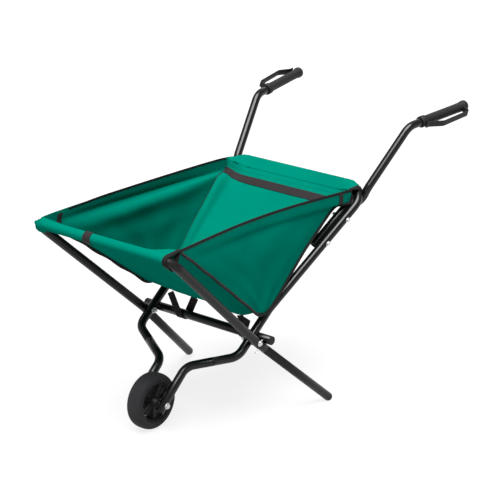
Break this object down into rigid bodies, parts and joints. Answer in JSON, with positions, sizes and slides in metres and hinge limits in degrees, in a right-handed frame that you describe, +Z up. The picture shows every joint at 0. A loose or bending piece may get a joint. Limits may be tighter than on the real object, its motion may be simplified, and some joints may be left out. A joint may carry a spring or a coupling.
{
  "type": "folding garden cart",
  "caption": "Folding one-wheeled garden cart: a green fabric hopper slung between two crossed tubular steel frames, with a small front wheel, two legs and two handles.",
  "frame": {"origin": "under the middle of the whole cart, on the floor", "axes": "+X from the handles towards the wheel, +Y to the cart's left, +Z up"},
  "size_m": [1.2422, 0.6839, 0.7733],
  "materials": {
    "glossy_black_tube": "glossy black powder coat",
    "satin_black_tube": "satin black powder coat",
    "zinc_steel": "bright zinc plate",
    "tyre_rubber": "matte, fine grain",
    "black_plastic": "moulded, matte",
    "green_fabric": "coated woven polyester",
    "black_webbing": "woven tape"
  },
  "bodies": {
    "chassis": {"rear_frame_tube": "glossy_black_tube", "fork_tube_left": "glossy_black_tube", "fork_tube_right": "glossy_black_tube", "fork_spigot_left": "zinc_steel", "fork_spigot_right": "zinc_steel", "cross_cap_left": "black_plastic", "cross_cap_right": "black_plastic", "handle_tube_left": "glossy_black_tube", "handle_tube_right": "glossy_black_tube", "grip_left": "black_plastic", "grip_right": "black_plastic", "hand_guard_left": "black_plastic", "hand_guard_right": "black_plastic", "pivot_bolt_left": "zinc_steel", "pivot_bolt_right": "zinc_steel", "pivot_nut_left": "zinc_steel", "pivot_nut_right": "zinc_steel", "pivot_washer_left": "black_plastic", "pivot_washer_right": "black_plastic", "axle_spacer_left": "black_plastic", "axle_spacer_right": "black_plastic", "bag_side_left": "green_fabric", "bag_side_right": "green_fabric", "bottom_strap_left": "black_webbing", "bottom_strap_right": "black_webbing", "cross_tube": "glossy_black_tube", "axle_bolt": "zinc_steel", "axle_nut": "zinc_steel", "bag_back": "green_fabric", "back_band": "black_webbing", "bag_bottom": "green_fabric", "rear_sleeve": "green_fabric", "handle_bolt_left_1": "zinc_steel", "handle_bolt_left_2": "zinc_steel", "handle_bolt_right_1": "zinc_steel", "handle_bolt_right_2": "zinc_steel", "handle_nut_left_1": "zinc_steel", "handle_nut_left_2": "zinc_steel", "handle_nut_right_1": "zinc_steel", "handle_nut_right_2": "zinc_steel"},
    "front_frame": {"front_frame_tube": "satin_black_tube", "front_sleeve": "green_fabric", "rim_strap": "black_webbing", "bag_front": "green_fabric", "leg_left": "satin_black_tube", "leg_right": "satin_black_tube", "leg_spigot_left": "zinc_steel", "leg_spigot_right": "zinc_steel", "foot_left": "black_plastic", "foot_right": "black_plastic", "lock_pin_left": "zinc_steel", "lock_pin_right": "zinc_steel"},
    "wheel": {"tyre": "tyre_rubber", "wheel_centre": "black_plastic"}
  },
  "joints": [
    {"name": "frame_fold", "type": "hinge", "parent": "chassis", "child": "front_frame", "pos_m": [0.22303, 0, 0.244], "axis": [0, -1, 0], "range_deg": [0, 84], "deforming": ["bag_side_left", "bag_side_right"]},
    {"name": "wheel_spin", "type": "hinge", "parent": "chassis", "child": "wheel", "pos_m": [0.42503, 0, 0.08], "axis": [0, 1, 0], "continuous": true}
  ]
}
